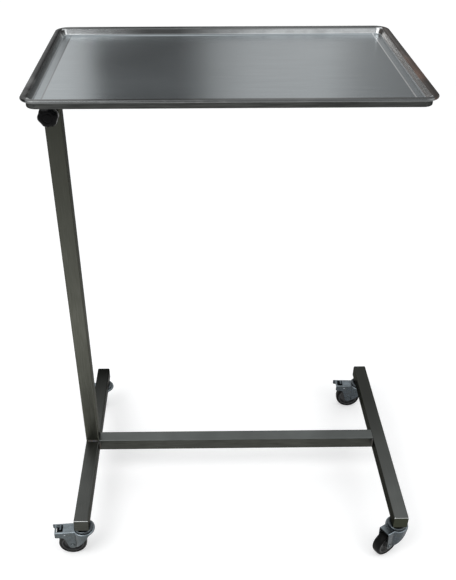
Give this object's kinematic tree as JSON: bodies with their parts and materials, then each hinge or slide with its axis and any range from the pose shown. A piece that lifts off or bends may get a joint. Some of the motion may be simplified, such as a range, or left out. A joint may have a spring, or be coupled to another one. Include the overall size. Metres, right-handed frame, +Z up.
{
  "type": "mayo instrument stand",
  "caption": "Mayo instrument stand: a pressed steel tray in an angle frame on a telescopic square column, offset on an H base with four casters, two of them braked.",
  "frame": {"origin": "on the floor, under the middle of the whole stand at its lowest height", "axes": "+Z up, -Y the front with the clamp knob, +X along the tray's long side away from the column"},
  "size_m": [0.7608, 0.5204, 0.984],
  "materials": {
    "tube_steel": "satin stainless steel",
    "mast_steel": "satin stainless steel",
    "tray_steel": "satin pressed stainless steel",
    "frame_steel": "satin stainless steel angle",
    "weld_steel": "as welded",
    "zinc": "bright zinc plate",
    "zinc_pin": "bright zinc plate",
    "black_plastic": "gloss",
    "guide_plastic": "moulded nylon",
    "wheel_plastic": "moulded nylon",
    "tyre_rubber": "smooth rubber"
  },
  "bodies": {
    "base": {"left_side_tube": "tube_steel", "right_side_tube": "tube_steel", "cross_tube": "tube_steel", "tube_end_plates": "tube_steel", "stem_sockets": "zinc", "base_welds": "weld_steel", "column_tube": "tube_steel", "column_bush": "guide_plastic", "clamp_boss": "tube_steel", "front_left_stem": "zinc_pin", "front_left_race_cap": "zinc", "front_right_stem": "zinc_pin", "front_right_race_cap": "zinc", "back_left_stem": "zinc_pin", "back_left_race_cap": "zinc", "back_right_stem": "zinc_pin", "back_right_race_cap": "zinc"},
    "mast": {"mast_tube": "mast_steel", "mast_glide": "guide_plastic", "head_plate": "mast_steel", "front_support_arm": "mast_steel", "back_support_arm": "mast_steel", "arm_plugs": "guide_plastic", "tray_frame": "frame_steel"},
    "tray": {"tray": "tray_steel"},
    "clamp_tip": {"clamp_tip": "guide_plastic"},
    "clamp_screw": {"clamp_stud": "zinc_pin", "clamp_knob": "black_plastic"},
    "front_left_swivel": {"front_left_fork": "zinc", "front_left_axle": "zinc_pin", "front_left_race_balls": "zinc_pin", "front_left_brake_pin": "zinc_pin"},
    "front_left_wheel": {"front_left_wheel_core": "wheel_plastic", "front_left_tyre": "tyre_rubber"},
    "front_left_brake": {"front_left_brake_lever": "zinc"},
    "front_right_swivel": {"front_right_fork": "zinc", "front_right_axle": "zinc_pin", "front_right_race_balls": "zinc_pin"},
    "front_right_wheel": {"front_right_wheel_core": "wheel_plastic", "front_right_tyre": "tyre_rubber"},
    "back_left_swivel": {"back_left_fork": "zinc", "back_left_axle": "zinc_pin", "back_left_race_balls": "zinc_pin"},
    "back_left_wheel": {"back_left_wheel_core": "wheel_plastic", "back_left_tyre": "tyre_rubber"},
    "back_right_swivel": {"back_right_fork": "zinc", "back_right_axle": "zinc_pin", "back_right_race_balls": "zinc_pin", "back_right_brake_pin": "zinc_pin"},
    "back_right_wheel": {"back_right_wheel_core": "wheel_plastic", "back_right_tyre": "tyre_rubber"},
    "back_right_brake": {"back_right_brake_lever": "zinc"}
  },
  "joints": [
    {"name": "mast_slide", "type": "slide", "parent": "base", "child": "mast", "axis": [0, 0, 1], "range_m": [0, 0.35]},
    {"name": "tray_lift", "type": "slide", "parent": "mast", "child": "tray", "axis": [0, 0, 1], "range_m": [0, 0.06]},
    {"name": "tip_travel", "type": "slide", "parent": "base", "child": "clamp_tip", "axis": [0, -1, 0], "range_m": [0, 0.0025]},
    {"name": "knob_turn", "type": "hinge", "parent": "clamp_tip", "child": "clamp_screw", "pos_m": [-0.31359, -0.02777, 0.904], "axis": [0, -1, 0], "range_deg": [0, 720]},
    {"name": "front_left_swivel_turn", "type": "hinge", "parent": "base", "child": "front_left_swivel", "pos_m": [-0.31359, -0.22377, 0.072], "axis": [0, 0, 1], "continuous": true},
    {"name": "front_left_wheel_roll", "type": "hinge", "parent": "front_left_swivel", "child": "front_left_wheel", "pos_m": [-0.33953, -0.22559, 0.03], "axis": [0.0698, -0.9976, 0], "continuous": true},
    {"name": "front_left_brake_press", "type": "hinge", "parent": "front_left_swivel", "child": "front_left_brake", "pos_m": [-0.3535, -0.22656, 0.066], "axis": [0.0698, -0.9976, 0], "range_deg": [0, 10]},
    {"name": "front_right_swivel_turn", "type": "hinge", "parent": "base", "child": "front_right_swivel", "pos_m": [0.35641, -0.22377, 0.072], "axis": [0, 0, 1], "continuous": true},
    {"name": "front_right_wheel_roll", "type": "hinge", "parent": "front_right_swivel", "child": "front_right_wheel", "pos_m": [0.33436, -0.23755, 0.03], "axis": [0.5299, -0.848, 0], "continuous": true},
    {"name": "back_left_swivel_turn", "type": "hinge", "parent": "base", "child": "back_left_swivel", "pos_m": [-0.31359, 0.23623, 0.072], "axis": [0, 0, 1], "continuous": true},
    {"name": "back_left_wheel_roll", "type": "hinge", "parent": "back_left_swivel", "child": "back_left_wheel", "pos_m": [-0.33959, 0.23577, 0.03], "axis": [0.0175, -0.9998, 0], "continuous": true},
    {"name": "back_right_swivel_turn", "type": "hinge", "parent": "base", "child": "back_right_swivel", "pos_m": [0.35641, 0.23623, 0.072], "axis": [0, 0, 1], "continuous": true},
    {"name": "back_right_wheel_roll", "type": "hinge", "parent": "back_right_swivel", "child": "back_right_wheel", "pos_m": [0.33042, 0.23714, 0.03], "axis": [-0.0349, -0.9994, 0], "continuous": true},
    {"name": "back_right_brake_press", "type": "hinge", "parent": "back_right_swivel", "child": "back_right_brake", "pos_m": [0.31643, 0.23762, 0.066], "axis": [-0.0349, -0.9994, 0], "range_deg": [0, 10]}
  ],
  "couplings": [
    {"joint": "tip_travel", "follows": "knob_turn", "m_per_rad": 0.00019894}
  ]
}
